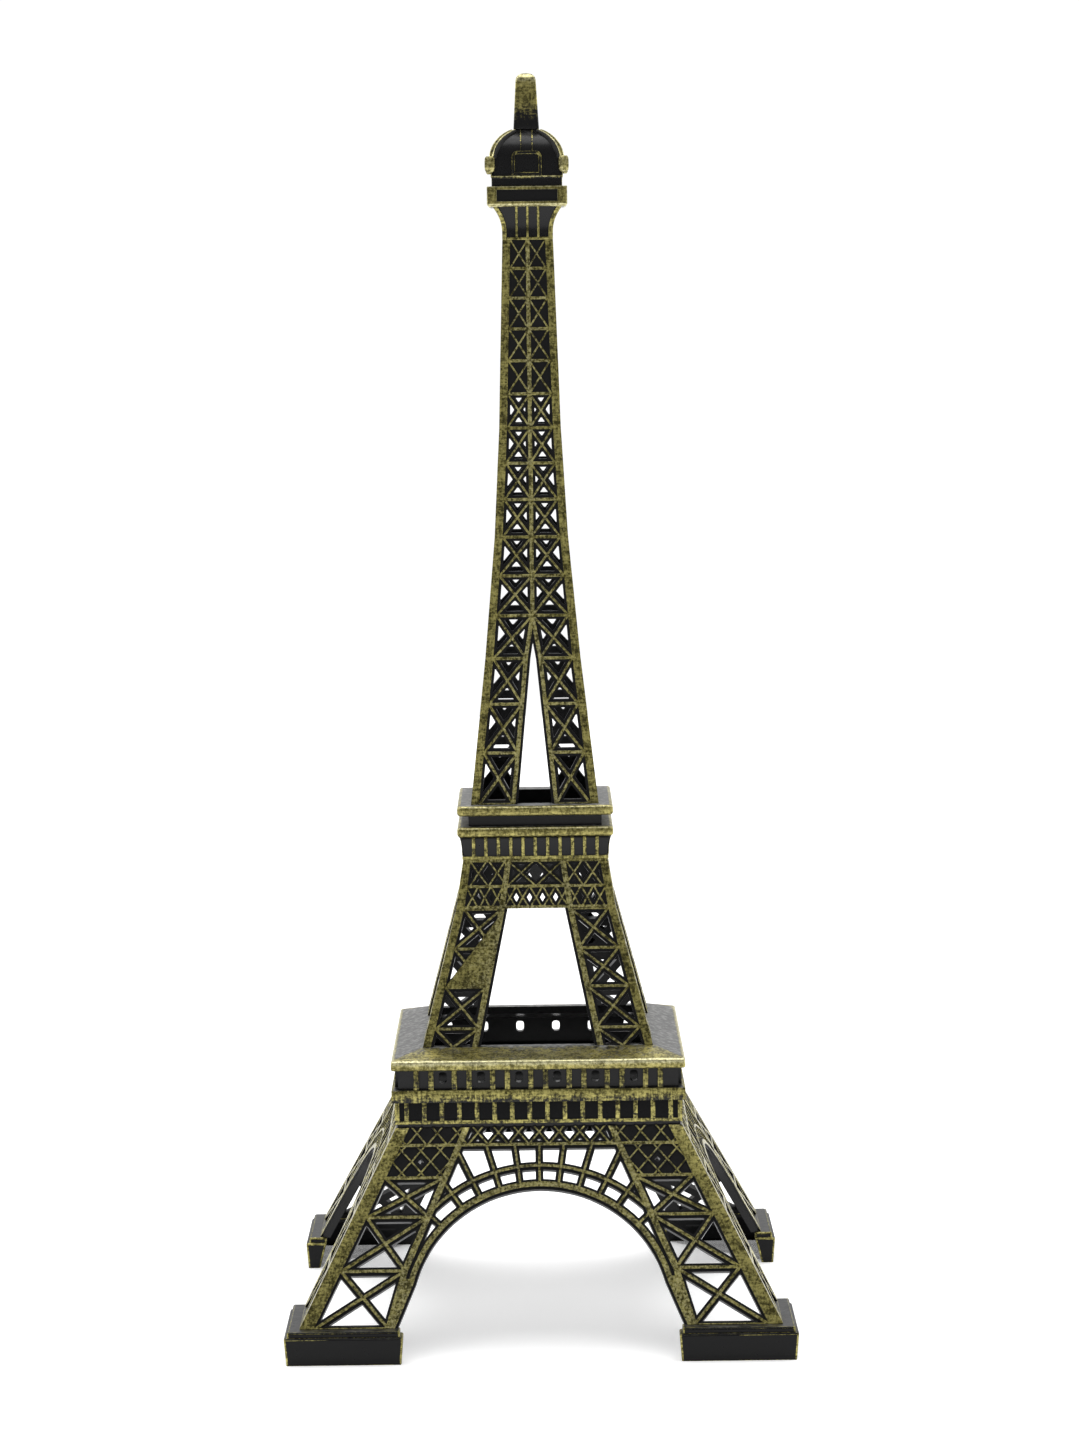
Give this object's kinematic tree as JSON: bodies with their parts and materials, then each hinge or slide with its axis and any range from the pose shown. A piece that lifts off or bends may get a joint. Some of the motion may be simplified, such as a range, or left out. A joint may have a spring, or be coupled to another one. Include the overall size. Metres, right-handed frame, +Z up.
{
  "type": "miniature landmark model",
  "caption": "Cast-metal desk model of a lattice tower: hollow tapering shaft on an arched four-legged base, with galleries, a domed lantern and a spire.",
  "frame": {"origin": "centre of the square footprint, on the surface the model stands on", "axes": "+Z up along the tower, +X along the front side, the front looks to -Y"},
  "size_m": [0.072, 0.072, 0.18],
  "materials": {
    "dark_plinth": "blackened antique bronze plating with rubbed edges",
    "lattice_bronze": "antique bronze plating, blackened web with rubbed olive-gold bars",
    "polished_bronze": "antique bronze plating rubbed back to olive gold",
    "dark_dome": "blackened antique bronze plating, satin"
  },
  "bodies": {
    "root": {"foot_front_left": "dark_plinth", "foot_front_right": "dark_plinth", "foot_back_right": "dark_plinth", "foot_back_left": "dark_plinth", "lower_side_front": "lattice_bronze", "lower_side_right": "lattice_bronze", "lower_side_back": "lattice_bronze", "lower_side_left": "lattice_bronze", "first_frieze": "lattice_bronze", "first_arcade": "lattice_bronze", "first_roof": "polished_bronze", "middle_side_front": "lattice_bronze", "middle_side_right": "lattice_bronze", "middle_side_back": "lattice_bronze", "middle_side_left": "lattice_bronze", "second_corbel": "lattice_bronze", "second_gallery": "polished_bronze", "second_ledge": "polished_bronze", "shaft_side_front": "lattice_bronze", "shaft_side_right": "lattice_bronze", "shaft_side_back": "lattice_bronze", "shaft_side_left": "lattice_bronze", "shaft_head": "lattice_bronze", "top_gallery": "polished_bronze", "lantern_drum": "dark_dome", "lantern_dome": "dark_dome", "dome_ribs": "polished_bronze", "dome_lugs": "polished_bronze", "lantern_doors": "dark_dome", "spire": "polished_bronze"}
  },
  "joints": []
}
